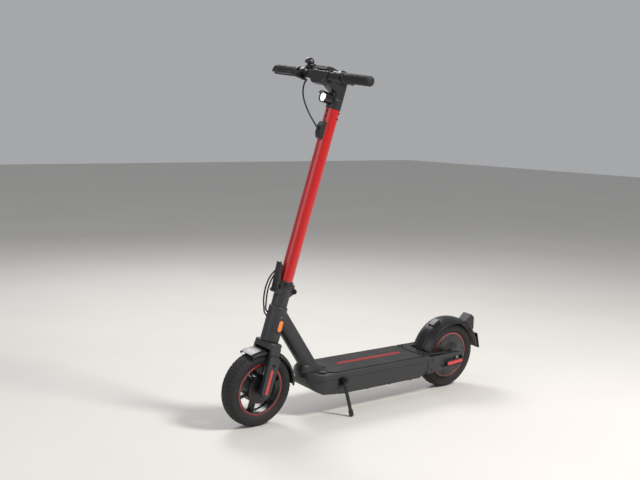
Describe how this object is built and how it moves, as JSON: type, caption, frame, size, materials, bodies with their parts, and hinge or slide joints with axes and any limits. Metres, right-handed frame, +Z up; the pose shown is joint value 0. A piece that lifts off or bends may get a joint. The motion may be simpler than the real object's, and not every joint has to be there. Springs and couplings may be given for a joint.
{
  "type": "electric kick scooter",
  "caption": "Folding electric kick scooter with a red stem, dark deck, rear hub motor, front drum brake, lights, bell and side kickstand.",
  "frame": {"origin": "on the ground, under the middle of the bounding box of the parked scooter", "axes": "+X forwards, +Y to the rider's left, +Z up; the scooter leans 5.3 degrees to its left on its kickstand"},
  "size_m": [1.157, 0.464, 1.1767],
  "materials": {
    "black_paint": "satin graphite-black powder coat",
    "red_paint": "gloss red lacquer",
    "grey_paint": "semi-gloss dark grey powder coat",
    "tyre": "matt moulded rubber",
    "red_tape": "red reflective film",
    "dark_rim": "satin black paint",
    "steel": "plain turned steel",
    "black_steel": "black zinc plate",
    "aluminium": "bare aluminium",
    "black_plastic": "fine-grained moulded plastic",
    "gloss_black": "polished black plastic",
    "rubber": "moulded rubber",
    "mat_rubber": "rubber with a fine raised diamond pattern",
    "stripe_red": "inlaid red rubber stripe",
    "amber": "prismatic amber reflector",
    "red_lens": "prismatic red reflector",
    "tail_lens": "clear red lens",
    "lens": "polished clear lens",
    "screen": "smoked glass",
    "copper": "laminated steel core with copper windings",
    "magnet": "nickel-plated magnet",
    "cell": "shrink-wrapped cell",
    "lining": "cast shoe with friction lining"
  },
  "bodies": {
    "frame": {"frame_neck": "grey_paint", "head_reflectors": "amber", "deck_frame": "grey_paint", "battery_cover": "black_plastic", "frame_screws": "black_steel", "battery_case": "black_plastic", "battery_cells": "cell", "controller": "aluminium", "charge_port": "black_plastic", "deck_mat": "mat_rubber", "deck_stripe": "stripe_red", "arm_covers": "grey_paint", "red_reflectors": "red_lens", "rear_fender": "black_plastic", "tail_light_housing": "black_plastic", "tail_light": "tail_lens", "stand_bracket": "black_steel", "motor_stator": "copper", "motor_axle": "steel", "headset_bearings": "steel"},
    "charge_cap": {"charge_cap": "rubber"},
    "kickstand": {"kickstand": "black_steel"},
    "rear_wheel": {"rear_tyre": "tyre", "rear_rim_tape": "red_tape", "motor_hub": "dark_rim", "motor_magnets": "magnet", "motor_bearings": "steel"},
    "steering": {"fork": "grey_paint", "front_axle": "steel", "leg_covers": "grey_paint", "leg_reflectors": "red_lens", "front_fender": "black_plastic", "drum_brake": "lining", "folding_base": "grey_paint", "hinge_pins": "steel", "joint_cables": "black_plastic"},
    "brake_arm": {"brake_arm": "black_steel"},
    "front_wheel": {"front_tyre": "tyre", "front_rim": "dark_rim", "front_rim_tape": "red_tape", "front_bearings": "steel"},
    "fold_lever": {"fold_lever": "black_paint"},
    "stem": {"stem_socket": "black_paint", "stem_tube": "red_paint", "stem_screws": "black_steel", "stem_head": "black_paint", "dash_cover": "black_plastic", "dash_screen": "screen", "handlebar": "black_paint", "grips": "rubber", "bar_clamps": "black_plastic", "bell": "black_paint", "headlight_housing": "gloss_black", "headlight_lens": "lens", "cable_guide": "black_plastic", "brake_cable": "black_plastic"},
    "power_button": {"power_button": "rubber"},
    "throttle_paddle": {"throttle_paddle": "black_plastic"},
    "brake_lever": {"brake_lever": "black_paint"},
    "bell_striker": {"bell_striker": "black_plastic"}
  },
  "joints": [
    {"name": "steering", "type": "hinge", "parent": "frame", "child": "steering", "pos_m": [0.4014, -0.07214, 0.33745], "axis": [-0.2368, 0.0892, 0.9675], "range_deg": [-50, 50], "deforming": ["joint_cables"]},
    {"name": "stem_fold", "type": "hinge", "parent": "steering", "child": "stem", "pos_m": [0.34473, -0.06321, 0.43439], "axis": [0, -0.9958, 0.0918], "range_deg": [0, 91], "deforming": ["joint_cables"]},
    {"name": "fold_lever", "type": "hinge", "parent": "steering", "child": "fold_lever", "pos_m": [0.40977, -0.06251, 0.44198], "axis": [0, 0.9958, -0.0918], "range_deg": [0, 80]},
    {"name": "brake_lever", "type": "hinge", "parent": "stem", "child": "brake_lever", "pos_m": [0.33372, -0.0878, 1.1265], "axis": [0.2368, -0.0892, -0.9675], "range_deg": [0, 12], "stiffness_Nm_per_rad": 1.5, "springref_deg": -5.73},
    {"name": "brake_arm", "type": "hinge", "parent": "steering", "child": "brake_arm", "pos_m": [0.44663, -0.06925, 0.15083], "axis": [0, -0.9958, 0.0918], "range_deg": [0, 9]},
    {"name": "throttle_paddle", "type": "hinge", "parent": "stem", "child": "throttle_paddle", "pos_m": [0.29517, 0.08862, 1.11218], "axis": [0, -0.9958, 0.0918], "range_deg": [0, 28], "stiffness_Nm_per_rad": 0.12, "springref_deg": -17.19},
    {"name": "bell_striker", "type": "hinge", "parent": "stem", "child": "bell_striker", "pos_m": [0.29434, -0.05053, 1.1496], "axis": [-0.2368, 0.0892, 0.9675], "range_deg": [0, 12], "stiffness_Nm_per_rad": 0.05, "springref_deg": -5.73},
    {"name": "power_button", "type": "slide", "parent": "stem", "child": "power_button", "axis": [0.3639, -0.0855, -0.9275], "range_m": [0, 0.001], "stiffness_N_per_m": 600, "springref_m": -0.001},
    {"name": "kickstand", "type": "hinge", "parent": "frame", "child": "kickstand", "pos_m": [0.1475, -0.01173, 0.12125], "axis": [0, 0.9958, -0.0918], "range_deg": [0, 82]},
    {"name": "charge_cap", "type": "hinge", "parent": "frame", "child": "charge_cap", "pos_m": [0.2065, -0.03886, 0.15368], "axis": [0, -0.9958, 0.0918], "range_deg": [0, 110]},
    {"name": "front_wheel_spin", "type": "hinge", "parent": "steering", "child": "front_wheel", "pos_m": [0.4535, -0.09176, 0.12461], "axis": [0, 0.9958, -0.0918], "continuous": true},
    {"name": "rear_wheel_spin", "type": "hinge", "parent": "frame", "child": "rear_wheel", "pos_m": [-0.4185, -0.09176, 0.12461], "axis": [0, 0.9958, -0.0918], "continuous": true}
  ],
  "couplings": [
    {"joint": "brake_arm", "follows": "brake_lever", "ratio": 0.7}
  ]
}
